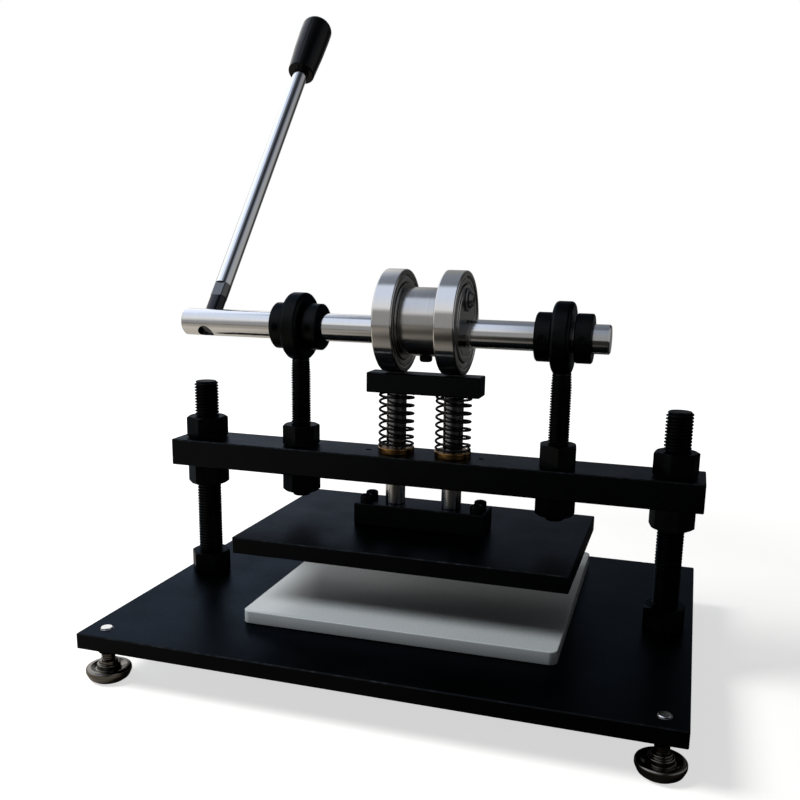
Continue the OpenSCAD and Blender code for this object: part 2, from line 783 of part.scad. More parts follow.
module shields(s) {
    face_off = bearing_w / 2 - shield_sink - shield_t / 2;
    color(ground_steel) for (t = sides) along_shaft(hub_x + s * bearing_off + t * face_off, hub_z)
        turned_ring(outer_ring_d - 2 * fixed_clear, inner_ring_d + 2 * shield_gap, shield_t, 0);
}

module pressure_bar() {
    color(black_paint) difference() {
        translate([0, post_y, bar_z]) broken_box(bar_l, bar_w, bar_t, edge_break);
        at_columns(bar_z - over)
            cylinder(d = spigot_d + 2 * fixed_clear, h = bar_t - spigot_floor + over + fixed_clear);
    }
}

// Guide column with a spigot at each end, one in the pressure bar and one in the block
module guide_column(s) {
    lower = block_top - block_t + spigot_floor;
    upper = bar_top - spigot_floor;
    color(bright_steel) translate([s * column_span / 2, post_y, 0]) rotate_extrude() polygon([
        [0, lower], [spigot_d / 2, lower], [spigot_d / 2, block_top], [column_d / 2, block_top],
        [column_d / 2, bar_z], [spigot_d / 2, bar_z], [spigot_d / 2, upper], [0, upper]
    ]);
}

module ram_block() {
    color(black_paint) difference() {
        translate([0, post_y, block_z]) broken_box(block_l, block_w, block_t, edge_break);
        at_columns(block_z + spigot_floor - fixed_clear)
            cylinder(d = spigot_d + 2 * fixed_clear, h = block_t);
        at_block_screws(0) bore(screw_d + 2 * fixed_clear, block_z, block_top);
    }
}

module block_screws() {
    color(black_oxide) at_block_screws(block_top) cap_screw(block_t + screw_bite);
}

module press_plate() {
    color(black_paint) difference() {
        translate([0, post_y, plate_z]) broken_box(plate_l, plate_w, plate_t, edge_break);
        at_block_screws(block_z - screw_bite - fixed_clear)
            cylinder(d = screw_d + 2 * fixed_clear, h = screw_bite + over);
    }
}

// Loose board with round corners, lying a little turned on the base plate
module cutting_board() {
    color(white_plastic) translate([board_x, board_y, base_top]) rotate([0, 0, board_turn])
        linear_extrude(board_t) {
            square([board_l - 2 * board_r, board_w], center = true);
            square([board_l, board_w - 2 * board_r], center = true);
            for (sx = sides, sy = sides)
                translate([sx * (board_l / 2 - board_r), sy * (board_w / 2 - board_r)]) circle(board_r);
        }
}

base_plate();
foot(left, -1);  // front_left_foot
foot(right, -1);  // front_right_foot
foot(left, 1);  // rear_left_foot
foot(right, 1);  // rear_right_foot
foot_lock_nuts();
post(left);  // left_post
post(right);  // right_post
post_nuts(foot_h - jam_nut_h, jam_nut_h, under_base_turn);  // post_nuts_under_base
post_nuts(base_top, post_nut_h, on_base_turn);  // post_nuts_on_base
post_nuts(beam_z - post_nut_h, post_nut_h, under_beam_turn);  // post_nuts_under_beam
post_nuts(beam_top, post_nut_h, on_beam_turn);  // post_nuts_on_beam
crossbeam();
eye_bolt(left);  // left_eye_bolt
eye_bolt(right);  // right_eye_bolt
eye_nuts(beam_top, eye_top_turn);  // eye_nuts_above_beam
eye_nuts(beam_z - eye_nut_h, eye_low_turn);  // eye_nuts_below_beam
guide_bush(left);  // left_guide_bush
guide_bush(right);  // right_guide_bush
spring(left);  // left_spring
spring(right);  // right_spring
cross_shaft();
lever_rod();
lever_grip();
collar(left_outer_x);  // left_outer_collar
collar(left_inner_x);  // left_inner_collar
collar(right_inner_x);  // right_inner_collar
collar(right_outer_x);  // right_outer_collar
collar_set_screws();
eccentric_hub();
hub_lock_screw();
retaining_washers();
retaining_screws();
inner_ring(left);  // left_inner_ring
bearing_balls(left);  // left_bearing_balls
bearing_cage(left);  // left_bearing_cage
outer_ring(left);  // left_outer_ring
shields(left);  // left_shields
inner_ring(right);  // right_inner_ring
bearing_balls(right);  // right_bearing_balls
bearing_cage(right);  // right_bearing_cage
outer_ring(right);  // right_outer_ring
shields(right);  // right_shields
pressure_bar();
guide_column(left);  // left_guide_column
guide_column(right);  // right_guide_column
ram_block();
block_screws();
press_plate();
cutting_board();
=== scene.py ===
"""Manual die cutting machine: the finished pieces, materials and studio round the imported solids."""

import math

import bmesh
import bpy
from bpy.props import FloatProperty, FloatVectorProperty, IntProperty, PointerProperty
from mathutils import Euler, Matrix, Vector


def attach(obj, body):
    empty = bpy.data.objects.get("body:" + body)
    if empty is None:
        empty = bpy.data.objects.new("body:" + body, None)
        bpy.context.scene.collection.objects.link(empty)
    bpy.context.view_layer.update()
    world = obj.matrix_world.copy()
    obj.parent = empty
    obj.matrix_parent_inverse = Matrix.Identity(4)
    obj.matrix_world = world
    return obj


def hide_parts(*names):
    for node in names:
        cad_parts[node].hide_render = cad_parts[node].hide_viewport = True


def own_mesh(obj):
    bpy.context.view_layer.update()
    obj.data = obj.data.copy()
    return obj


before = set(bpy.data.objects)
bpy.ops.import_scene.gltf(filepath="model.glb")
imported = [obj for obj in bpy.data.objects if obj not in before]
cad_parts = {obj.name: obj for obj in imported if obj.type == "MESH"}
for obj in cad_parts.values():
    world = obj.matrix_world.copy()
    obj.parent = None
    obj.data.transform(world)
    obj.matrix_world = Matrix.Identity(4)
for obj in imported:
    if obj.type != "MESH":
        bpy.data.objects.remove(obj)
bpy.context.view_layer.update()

bl_info = {
    "name": "Manual Die Cutting Machine",
    "version": (1, 0, 0),
    "blender": (4, 5, 0),
    "location": "View3D > Sidebar > Die Press",
    "description": "Builds a hand-lever die press piece by piece and sets it in a studio",
    "category": "Object",
}

MM = 0.001

# Places and sizes of the pieces, in millimetres; they follow the solids
POST_X, POST_Y = 194, 4
POST_D, POST_LOW, POST_HIGH = 20, 13.5, 207
EYE_X, EYE_BODY_D, EYE_BODY_W, EYE_BORE = 106.5, 54, 14.5, 22.1
SHAFT_Z = 256.5
EYE_THREAD_D, EYE_ROOT_D, EYE_ROOT_Z, EYE_NECK_L, EYE_THREAD_END = 16, 14, 232.3, 13, 116
FOOT_X, FOOT_Y = 200.5, 139.5
FOOT_SECTION = ((0, 0), (11.5, 0), (14.6, 2.2), (16.5, 6.4), (16.5, 10.0), (13.0, 10.0), (9.5, 8.4),
                (8.5, 8.6), (8.5, 12.6), (6.75, 12.6), (6.75, 15.2), (0, 15.2))
FOOT_ROUNDING = (0, 0.5, 3.0, 2.0, 1.75, 1.2, 0.4, 0.3, 0.8, 0.3, 0.6, 0)
STUD_D, STUD_LOW, STUD_TOP, BASE_TOP = 10, 14.5, 40.7, 39.5
COLUMN_X, COLUMN_D, COLUMN_LOW, COLUMN_HIGH = 23.5, 16, 117.2, 207.7
SPIGOT_R, SPIGOT_L = 5, 6
BUSH_D, BUSH_BORE, BUSH_LOW, BUSH_TOP, FLANGE_D, FLANGE_H = 20, 16.1, 137, 164, 29.5, 5
SPRING_D, SPRING_LOW, SPRING_TOP, SPRING_PRESSED = 29, 164, 207.6, 196.3
CLOSED_TURNS, CLOSED_RISE, SPRING_STARTS = 0.8, 1.03, (225, 37)
LEVER_X, LEVER_LEAN = -189, 39.6
LEVER_TIP, LEVER_SHOULDER, LEVER_END = -7.5, 24.5, 347
LEVER_NECK_D, LEVER_D, FLAT_AF, FLAT_L = 13.5, 14, 11, 13.5
GRIP_LOW, GRIP_TOP, GRIP_SMALL_D, GRIP_D, GRIP_DOME = 297, 367, 25.5, 30, 7
GRIP_WAIST_Z, GRIP_WAIST_IN, GRIP_BELLY_Z, GRIP_CROWN, GRIP_CURVE = 327, 0.6, 349, 1.2, 60
GRIP_FIT_R, GRIP_FIT_END = 0.05, 0.1
HUB_Z, BEARING_X, BEARING_W = 264, (-24, 24), 16
BEARING_D, BEARING_BORE = 80, 50
INNER_SHOULDER_D, OUTER_SHOULDER_D, SHIELD_OUT_R, SHIELD_IN_R = 59, 71, 35.2, 30.5
SHIELD_SUNK, SHIELD_T, SHIELD_STEP, SHIELD_LAND, SHIELD_RISE = 0.7, 0.8, 0.6, 1, 0.4
GROOVE_W, GROOVE_DEPTH, GROOVE_FLOOR, GROOVE_SLOPE, UNDER_SLOPE = 1.1, 1.1, 1.5, 0.2, (0.05, 0.8)
LOCK_SEAT_Z, RETAIN_Z = 239, 282
BLOCK_SCREWS, BLOCK_TOP, CAP_D, CAP_H = ((46, 7), (46, -7), (-46, 7), (-46, -7)), 117.2, 10, 6
CAP_EDGE, LOCK_EDGE, KNURLS, KNURL_DEPTH, KNURL_LOW = 1.6, 1.9, 36, 0.015, 0.3
SOCKET_AF, SOCKET_DEPTH, SOCKET_LEAD, SOCKET_MOUTH = 5, 3, 0.25, 1.12
BOARD_L, BOARD_W, BOARD_LOW, BOARD_T, BOARD_R = 238, 229, 39.5, 10, 6
BOARD_AT, BOARD_TURN = (6, 19.5), 0.8

# Shares of a thread's pitch: its depth, the bevel of its ends, and where the crest ends and the root lies
THREAD_DEPTH, THREAD_BEVEL, CREST_END, ROOT_START, ROOT_END = 0.58, 0.72, 0.24, 0.54, 0.70

# How far a holding point lies beside a rounded corner, the height of a change of finish, and a turn of Z to X
HOLD, ZONE_BLEND = 0.06, 0.2
ALONG_X = Matrix.Rotation(math.pi / 2, 4, "Y")

# The camera, solved from the photograph: its place in millimetres and its angles in degrees
CAMERA_AT, CAMERA_YAW, CAMERA_PITCH, CAMERA_ROLL = (198.53, -674.08, 314.37), 16.815, -12.371, 1.116
CAMERA_LENS, CAMERA_SHIFT, SENSOR_W = 40.68, (-0.0204, 0.0669), 36.0

# The lamps: place and span in millimetres, power and tone, and the height that they aim at
KEY_LAMP = (-1100, -450, 1350), 800, 24.0, (1.0, 0.99, 0.97)
WINDOW_LAMP = (-1300, 250, 480), 900, 2.0, (0.86, 0.93, 1.0)
LAMP_AIM_Z = 120

# The floor, in metres: its reach, how it brightens with distance, and where it is darker in mirroring metal
FLOOR_REACH, GLOW_REACH, FLOOR_GLOW = 2.0, (0.45, 1.1), (0.64, 1.0)
FLOOR_DIM = ("X", -0.32, -0.14, 0.55), ("X", -0.05, 0.15, 0.38), ("Y", -0.25, -0.42, 0.38)
DIM_MOST = 0.95

# The plain room that bright metal mirrors: which way its lights lie, and how bright each is
BACK_LEFT, FRONT_LEFT = (-0.95, 0.2, 0.1), (-0.78, -0.42, 0.46)
ROOM_DARK, ROOM_LEFT, WINDOW_LEVEL, FRONT_LEVEL = 0.04, 0.35, 1.15, 0.4
STRIP_LEVEL, CORNER_LEVEL, RIGHT_LEVEL, DIFFUSE_LEVEL = 1.15, 1.0, 0.45, 0.07
OVERHEAD_TONE, FLOOR_TONE = (0.88, 0.98, 1.18, 1), (0.82, 0.76, 0.68, 1)
WHITE, BLACK = (1, 1, 1, 1), (0, 0, 0, 1)

# How much darker than their base colours the hub, the washers and the retaining screws are
HUB_SHADE, WASHER_SHADE, SCREW_SHADE = 0.86, 0.5, 0.25


def length(name, description, default):
    return FloatProperty(name=name, description=description, default=default, min=0.0, unit="LENGTH")


def colour(name, description, default):
    return FloatVectorProperty(name=name, description=description, default=default, size=3, min=0.0, max=1.0,
                               subtype="COLOR")


class DiePressSizes(bpy.types.PropertyGroup):
    """Sizes of the detail that the solids leave plain."""

    post_pitch: length("Post thread pitch", "Pitch of the threads on the two posts", 0.0025)
    eye_pitch: length("Eye bolt thread pitch", "Pitch of the threads on the eye bolts", 0.002)
    stud_pitch: length("Foot thread pitch", "Pitch of the threads on the levelling feet", 0.0015)
    wire: length("Spring wire", "Diameter of the wire of the springs", 0.002)
    spring_turns: FloatProperty(name="Spring turns", default=6.0, min=1.0,
                                description="Open turns of a spring between its closed ends")
    ring_edge: length("Bearing edge", "Radius of the edges of the bearing rings", 0.0012)
    eye_edge: length("Eye edge", "Radius of the edges of the eyes", 0.003)
    board_edge: length("Board edge", "Radius of the edges of the cutting board", 0.0008)
    steps: IntProperty(name="Steps", description="Steps round a turned piece", default=96, min=12)


class DiePressColours(bpy.types.PropertyGroup):
    """Colours of the finishes and of the floor."""

    plate: colour("Plates", "Blackened plates and bars", (0.0082, 0.0092, 0.0094))
    oxide: colour("Black steel", "Nuts, posts, eye bolts, collars and screws", (0.0082, 0.0088, 0.0091))
    bright: colour("Bared edges", "Metal that shows where the black has worn off", (0.055, 0.056, 0.06))
    ground: colour("Ground steel", "Cross shaft and the tips of the foot studs", (0.60, 0.60, 0.60))
    column: colour("Columns", "Guide columns", (0.46, 0.46, 0.46))
    neck: colour("Lever neck", "Neck of the lever, which goes into the shaft", (0.03, 0.03, 0.033))
    flats: colour("Lever flats", "Wrench flats of the lever", (0.13, 0.13, 0.132))
    # Painted shade: the guide columns inside the springs get a darker colour where the coils shade them
    spring_shade: colour("Spring-shaded steel", "Guide columns inside the springs, darkened as painted shade", (0.23, 0.235, 0.25))
    chrome: colour("Bright plate", "Lever rod", (0.66, 0.66, 0.67))
    bearing: colour("Bearing steel", "Bearing rings, balls and hub", (0.57, 0.56, 0.545))
    shield: colour("Shields", "Bearing shields; washers and retaining screws are darker", (0.50, 0.50, 0.49))
    brass: colour("Brass", "Guide bushes and cages", (0.21, 0.115, 0.04))
    spring: colour("Spring wire", "Return springs", (0.016, 0.016, 0.017))
    nickel: colour("Feet", "Pads and studs of the levelling feet", (0.16, 0.148, 0.132))
    grip: colour("Grip", "Lever grip", (0.003, 0.003, 0.004))
    board: colour("Board", "Cutting board", (0.545, 0.597, 0.63))
    floor: colour("Floor", "Floor of the studio", (0.76, 0.76, 0.76))


# Mesh tools


def chain(bm, points):
    """A line of edges through (radius, height) points beside the Z axis, as geometry for a spin."""
    verts = [bm.verts.new((r, 0, z)) for r, z in points]
    return verts + [bm.edges.new(pair) for pair in zip(verts, verts[1:])]


def rounded(points, radii, cuts=5):
    """The points of a profile with its corners rounded: one radius for each point, 0 for a sharp corner.
    A point just beside each arc keeps the shading of the straight parts flat."""
    made = []
    for i, (point, radius) in enumerate(zip(points, radii)):
        if not radius:
            made.append(point)
            continue
        here, before, after = Vector(point), Vector(points[i - 1]), Vector(points[(i + 1) % len(points)])
        a, b = (before - here).normalized(), (after - here).normalized()
        half = a.angle(b) / 2
        reach = radius / math.tan(half)
        centre = here + (a + b).normalized() * radius / math.sin(half)
        start, end = here + a * reach - centre, here + b * reach - centre
        turn = start.angle_signed(end)
        made.append(tuple(here + a * (reach + HOLD)))
        for k in range(cuts + 1):
            spun = Matrix.Rotation(-turn * k / cuts, 2) @ start
            made.append(tuple(centre + spun))
        made.append(tuple(here + b * (reach + HOLD)))
    return made


def tidy(bm):
    """Joins doubled points, drops empty faces and turns the faces outward."""
    bmesh.ops.remove_doubles(bm, verts=bm.verts, dist=1e-4)
    bmesh.ops.dissolve_degenerate(bm, dist=1e-5, edges=bm.edges)
    bmesh.ops.recalc_face_normals(bm, faces=bm.faces)
    return bm


def turned(points, steps):
    """A piece turned about Z from half its section, in millimetres."""
    bm = bmesh.new()
    bmesh.ops.spin(bm, geom=chain(bm, points), cent=(0, 0, 0), axis=(0, 0, 1), angle=math.tau, steps=steps,
                   use_merge=True, use_duplicate=False)
    return tidy(bm)


def ring(points, steps):
    """A turned piece whose section closes on itself."""
    return turned(points + points[:1], steps)


def threaded(diameter, pitch, low, high, steps=48, neck=None):
    """A threaded bar about Z with bevelled ends: one turn of thread swept up a screw line, stacked, trimmed
    and capped. A neck is how much the top end narrows and over what length."""
    bm = bmesh.new()
    crest, root = diameter / 2, diameter / 2 - THREAD_DEPTH * pitch
    section = [(crest, 0), (crest, pitch * CREST_END), (root, pitch * ROOT_START), (root, pitch * ROOT_END),
               (crest, pitch)]
    bmesh.ops.spin(bm, geom=chain(bm, section), cent=(0, 0, 0), axis=(0, 0, 1), dvec=(0, 0, pitch / steps),
                   angle=math.tau, steps=steps, use_merge=False, use_duplicate=False)
    turns = 1
    while turns * pitch < high - low + 3 * pitch:
        more = bmesh.ops.duplicate(bm, geom=bm.verts[:] + bm.edges[:] + bm.faces[:])["geom"]
        more = [g for g in more if isinstance(g, bmesh.types.BMVert)]
        bmesh.ops.translate(bm, vec=(0, 0, turns * pitch), verts=more)
        turns *= 2
    bmesh.ops.translate(bm, vec=(0, 0, low - 1.5 * pitch), verts=bm.verts)
    bmesh.ops.remove_doubles(bm, verts=bm.verts, dist=1e-3)
    for height, way in ((low, -1), (high, 1)):
        cut = bmesh.ops.bisect_plane(bm, geom=bm.verts[:] + bm.edges[:] + bm.faces[:],
                                     plane_co=(0, 0, height), plane_no=(0, 0, way), clear_outer=True)
        rim = [e for e in cut["geom_cut"] if isinstance(e, bmesh.types.BMEdge)]
        bmesh.ops.contextual_create(bm, geom=rim)
    bevel = THREAD_BEVEL * pitch
    depth, reach = neck or (bevel, bevel)
    for v in bm.verts:
        limit = min(crest - bevel + v.co.z - low, crest - depth * (1 - (high - v.co.z) / reach), crest)
        radius = math.hypot(v.co.x, v.co.y)
        if radius > limit:
            v.co.x, v.co.y = v.co.x * limit / radius, v.co.y * limit / radius
    bmesh.ops.recalc_face_normals(bm, faces=bm.faces)
    return bm


def wound(mean_r, wire_r, parts, steps=40):
    """A wire wound to the left about Z from height 0: parts are (turns, rise of each turn) in order."""
    bm = bmesh.new()
    start = bmesh.ops.create_circle(bm, segments=14, radius=wire_r, cap_ends=False)["verts"]
    bmesh.ops.rotate(bm, verts=start, cent=(0, 0, 0), matrix=Matrix.Rotation(math.pi / 2, 3, "X"))
    bmesh.ops.translate(bm, verts=start, vec=(mean_r, 0, 0))
    last = bm.verts[:] + bm.edges[:]
    for turns, rise in parts:
        count = round(turns * steps)
        made = bmesh.ops.spin(bm, geom=last, cent=(0, 0, 0), axis=(0, 0, 1), angle=-math.tau * turns,
                              dvec=(0, 0, rise * turns / count), steps=count, use_merge=False,
                              use_duplicate=False)
        last = made["geom_last"]
    bmesh.ops.holes_fill(bm, edges=[e for e in bm.edges if e.is_boundary], sides=20)
    bmesh.ops.recalc_face_normals(bm, faces=bm.faces)
    return bm


def socket_head(diameter, height, across_flats, depth, edge, knurls=0, steps=72):
    """A screw head standing on z = 0 with a soft rim, a six-sided socket and, where knurls is set, flutes."""
    rim, corner_r = diameter / 2, across_flats / math.sqrt(3)
    mouth = corner_r * SOCKET_MOUTH
    side = rounded([(rim, 0), (rim, height), (mouth, height)], [0, edge, 0])
    bm = bmesh.new()
    bmesh.ops.spin(bm, geom=chain(bm, [(0, 0)] + side), cent=(0, 0, 0), axis=(0, 0, 1), angle=math.tau,
                   steps=steps, use_merge=True, use_duplicate=False)
    bmesh.ops.remove_doubles(bm, verts=bm.verts, dist=1e-4)
    opening = [e for e in bm.edges if e.is_boundary]
    hexagon = bmesh.ops.create_circle(bm, segments=6, radius=corner_r, cap_ends=False)["verts"]
    bmesh.ops.translate(bm, verts=hexagon, vec=(0, 0, height - SOCKET_LEAD))
    lines = list({e for v in hexagon for e in v.link_edges})
    bmesh.ops.bridge_loops(bm, edges=opening + lines)
    walls = bmesh.ops.extrude_edge_only(bm, edges=lines)["geom"]
    low_points = [g for g in walls if isinstance(g, bmesh.types.BMVert)]
    bmesh.ops.translate(bm, verts=low_points, vec=(0, 0, SOCKET_LEAD - depth))
    bmesh.ops.contextual_create(bm, geom=[g for g in walls if isinstance(g, bmesh.types.BMEdge)])
    if knurls:
        for v in bm.verts:
            if math.hypot(v.co.x, v.co.y) > rim - 1e-3 and KNURL_LOW < v.co.z:
                flute = 1 - KNURL_DEPTH * (1 - math.cos(knurls * math.atan2(v.co.y, v.co.x)))
                v.co.x, v.co.y = v.co.x * flute, v.co.y * flute
    bmesh.ops.recalc_face_normals(bm, faces=bm.faces)
    return bm


def slab(long, wide, height, corner, edge):
    """A flat board about the origin with round corners and softened edges, standing on z = 0."""
    bm = bmesh.new()
    bmesh.ops.create_cube(bm, size=1)
    bmesh.ops.scale(bm, vec=(long, wide, height), verts=bm.verts)
    bmesh.ops.translate(bm, vec=(0, 0, height / 2), verts=bm.verts)
    upright = [e for e in bm.edges if abs(e.verts[0].co.z - e.verts[1].co.z) > height / 2]
    bmesh.ops.bevel(bm, geom=upright, offset=corner, offset_type="OFFSET", segments=10, profile=0.5,
                    affect="EDGES", material=-1)
    flat = [e for e in bm.edges if abs(e.verts[0].co.z - e.verts[1].co.z) < 1e-6 and
            any(abs(f.normal.z) < 0.5 for f in e.link_faces) and
            any(abs(f.normal.z) > 0.5 for f in e.link_faces)]
    bmesh.ops.bevel(bm, geom=flat, offset=edge, offset_type="OFFSET", segments=4, profile=0.5, affect="EDGES",
                    material=-1)
    bmesh.ops.recalc_face_normals(bm, faces=bm.faces)
    return bm


def at(x, y, z, turn=None):
    """A place in millimetres, after a turn about the origin."""
    moved = Matrix.Translation((x, y, z))
    return moved @ turn if turn else moved


def piece(name, parts, material, body, nodes, crease=35.0):
    """Makes one object from (mesh, place) parts in millimetres, keeps each point's own place on the lathe for
    the finish, and lets it ride on a body in place of the solids that it stands for."""
    whole = bmesh.new()
    for bm, place in parts:
        lathe = bm.verts.layers.float_vector.new("lathe")
        for v in bm.verts:
            v[lathe] = v.co * MM
        bmesh.ops.transform(bm, matrix=place, verts=bm.verts)
        bmesh.ops.scale(bm, vec=(MM, MM, MM), verts=bm.verts)
        part = bpy.data.meshes.new("part")
        bm.to_mesh(part)
        bm.free()
        whole.from_mesh(part)
        bpy.data.meshes.remove(part)
    for face in whole.faces:
        face.smooth = True
    for e in whole.edges:
        e.smooth = len(e.link_faces) == 2 and e.calc_face_angle(0) < math.radians(crease)
    mesh = bpy.data.meshes.new(name)
    whole.to_mesh(mesh)
    whole.free()
    if not mesh.polygons:
        raise RuntimeError(f"{name} came out empty")
    obj = bpy.data.objects.new(name, mesh)
    bpy.context.scene.collection.objects.link(obj)
    mesh.materials.append(material)
    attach(obj, body)
    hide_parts(*nodes)
    return obj


# Finishes


class Nodes:
    """A small builder for a material's or world's node tree."""

    def __init__(self, owner):
        owner.use_nodes = True
        self.tree = owner.node_tree

    def add(self, kind, inputs=None, **settings):
        made = self.tree.nodes.new(kind)
        for key, value in settings.items():
            setattr(made, key, value)
        for key, value in (inputs or {}).items():
            self.put(made.inputs[key], value)
        return made

    def put(self, socket, value):
        if isinstance(value, bpy.types.NodeSocket):
            self.tree.links.new(value, socket)
        else:
            socket.default_value = value

    def math(self, operation, a, b=0.0, clamp=False):
        return self.add("ShaderNodeMath", {0: a, 1: b}, operation=operation, use_clamp=clamp).outputs[0]

    def spread(self, value, low, high, to_low, to_high):
        return self.add("ShaderNodeMapRange", {"Value": value, "From Min": low, "From Max": high,
                                               "To Min": to_low, "To Max": to_high}).outputs[0]

    def noise(self, where, scale, detail=3.0, roughness=0.55):
        return self.add("ShaderNodeTexNoise", {"Vector": where, "Scale": scale, "Detail": detail,
                                               "Roughness": roughness}).outputs[0]

    def mix(self, share, a, b):
        made = self.add("ShaderNodeMix", data_type="RGBA")
        self.put(made.inputs["Factor"], share)
        self.put(made.inputs["A"], a)
        self.put(made.inputs["B"], b)
        return made.outputs["Result"]

    def bump(self, height, strength, distance):
        return self.add("ShaderNodeBump", {"Height": height, "Strength": strength,
                                           "Distance": distance}).outputs[0]

    def object_place(self, centre=(0, 0, 0), turn=(0, 0, 0)):
        """Object coordinates taken from a centre in millimetres, with a turn undone."""
        place = self.add("ShaderNodeTexCoord").outputs["Object"]
        return self.add("ShaderNodeMapping", {"Vector": place, "Location": Vector(centre) * MM,
                                              "Rotation": turn}, vector_type="TEXTURE").outputs[0]

    def lathe_place(self):
        return self.add("ShaderNodeAttribute", attribute_name="lathe").outputs["Vector"]

    def tool_lines(self, place, scale):
        """Fine rings left by a lathe about a place's Z axis: they change with radius and height alone."""
        split = self.add("ShaderNodeSeparateXYZ", {"Vector": place})
        flat = self.add("ShaderNodeCombineXYZ", {"X": split.outputs["X"], "Y": split.outputs["Y"]}).outputs[0]
        radius = self.add("ShaderNodeVectorMath", {0: flat}, operation="LENGTH").outputs["Value"]
        along = self.add("ShaderNodeCombineXYZ", {"X": radius, "Z": split.outputs["Z"]}).outputs[0]
        return self.noise(along, scale, detail=2.0, roughness=0.6)


def rgb(value):
    return (*value, 1.0)


def shade(value, by):
    return (*(min(1.0, c * by) for c in value), 1.0)


def material(name):
    mat = bpy.data.materials.new(name)
    made = Nodes(mat)
    return mat, made, made.tree.nodes["Principled BSDF"]


def black_plate(name, col):
    """Blackened plate: satin, uneven, bared along the broken edges."""
    mat, n, bsdf = material(name)
    place = n.object_place()
    cloud = n.noise(place, 22.0, detail=4.0)
    grain = n.noise(place, 900.0, detail=2.0)
    normal = n.add("ShaderNodeNewGeometry").outputs["True Normal"]
    size = n.add("ShaderNodeVectorMath", {0: normal}, operation="ABSOLUTE").outputs[0]
    part = n.add("ShaderNodeSeparateXYZ", {"Vector": size})
    flatness = n.math("MAXIMUM", n.math("MAXIMUM", part.outputs["X"], part.outputs["Y"]), part.outputs["Z"])
    edge = n.spread(flatness, 0.9, 0.75, 0.0, 1.0)
    patches = n.spread(n.noise(place, 160.0, detail=5.0), 0.5, 0.8, 0.0, 0.5)
    worn = n.math("MULTIPLY", edge, patches, clamp=True)
    base = n.mix(cloud, shade(col.plate, 0.75), shade(col.plate, 1.3))
    n.put(bsdf.inputs["Base Color"], n.mix(worn, base, rgb(col.bright)))
    bsdf.inputs["Metallic"].default_value = 1.0
    bsdf.inputs["Specular Tint"].default_value = (0.54, 0.57, 0.63, 1.0)
    rough = n.math("ADD", n.spread(cloud, 0.3, 0.7, 0.30, 0.42), n.spread(grain, 0.3, 0.7, -0.03, 0.05))
    n.put(bsdf.inputs["Roughness"], rough)
    n.put(bsdf.inputs["Normal"], n.bump(grain, strength=0.10, distance=0.0004))
    return mat


def black_steel(name, col, lathe=False):
    """Black oxide on steel: deep black, a little oily, faintly streaked."""
    mat, n, bsdf = material(name)
    place = n.lathe_place() if lathe else n.object_place()
    cloud = n.noise(place, 70.0, detail=4.0)
    grain = n.noise(place, 1400.0, detail=2.0)
    n.put(bsdf.inputs["Base Color"], n.mix(cloud, shade(col.oxide, 0.6), shade(col.oxide, 1.7)))
    bsdf.inputs["Metallic"].default_value = 1.0
    bsdf.inputs["Specular Tint"].default_value = (0.48, 0.50, 0.53, 1.0)
    n.put(bsdf.inputs["Roughness"], n.spread(cloud, 0.3, 0.7, 0.26, 0.42))
    n.put(bsdf.inputs["Normal"], n.bump(grain, strength=0.12, distance=0.0003))
    return mat


def turned_metal(name, base, rough, lines, lathe=True, centre=(0, 0, 0), turn=(0, 0, 0), marks=1500.0,
                 uneven=0.1, zones=()):
    """Bright turned or ground metal with fine rings and a few duller smears. A zone is a height and the
    colour above it."""
    mat, n, bsdf = material(name)
    place = n.lathe_place() if lathe else n.object_place(centre, turn)
    rings = n.tool_lines(place, marks)
    smear = n.noise(place, 45.0, detail=4.0)
    skin = n.mix(n.spread(rings, 0.35, 0.65, 0.0, 1.0), shade(base, 1 - uneven), shade(base, 1 + uneven / 2))
    for height, steel in zones:
        up = n.add("ShaderNodeSeparateXYZ", {"Vector": place}).outputs["Z"]
        skin = n.mix(n.spread(up, height * MM, (height + ZONE_BLEND) * MM, 0.0, 1.0), skin, rgb(steel))
    n.put(bsdf.inputs["Base Color"], skin)
    bsdf.inputs["Metallic"].default_value = 1.0
    dull = n.math("ADD", n.spread(smear, 0.35, 0.7, rough * 0.85, rough * 1.25),
                  n.spread(rings, 0.3, 0.7, -uneven / 4, uneven / 4))
    n.put(bsdf.inputs["Roughness"], dull)
    n.put(bsdf.inputs["Normal"], n.bump(rings, strength=lines, distance=0.0002))
    return mat


def spring_wire(name, col):
    """Drawn wire: dark, with a fine lengthwise grain."""
    mat, n, bsdf = material(name)
    place = n.lathe_place()
    grain = n.noise(place, 500.0, detail=3.0)
    n.put(bsdf.inputs["Base Color"], n.mix(grain, shade(col.spring, 0.6), shade(col.spring, 1.5)))
    bsdf.inputs["Metallic"].default_value = 1.0
    bsdf.inputs["Specular Tint"].default_value = (0.5, 0.5, 0.5, 1.0)
    n.put(bsdf.inputs["Roughness"], n.spread(grain, 0.3, 0.7, 0.22, 0.38))
    n.put(bsdf.inputs["Normal"], n.bump(grain, strength=0.08, distance=0.0002))
    return mat


def grip_plastic(name, col):
    """Glossy moulded plastic with a slight ripple and hand marks."""
    mat, n, bsdf = material(name)
    place = n.lathe_place()
    smear = n.noise(place, 60.0, detail=4.0)
    ripple = n.noise(place, 260.0, detail=2.0)
    n.put(bsdf.inputs["Base Color"], n.mix(smear, shade(col.grip, 0.7), shade(col.grip, 1.6)))
    n.put(bsdf.inputs["Roughness"], n.spread(smear, 0.35, 0.7, 0.08, 0.18))
    bsdf.inputs["Specular IOR Level"].default_value = 0.12
    n.put(bsdf.inputs["Normal"], n.bump(ripple, strength=0.04, distance=0.0006))
    return mat


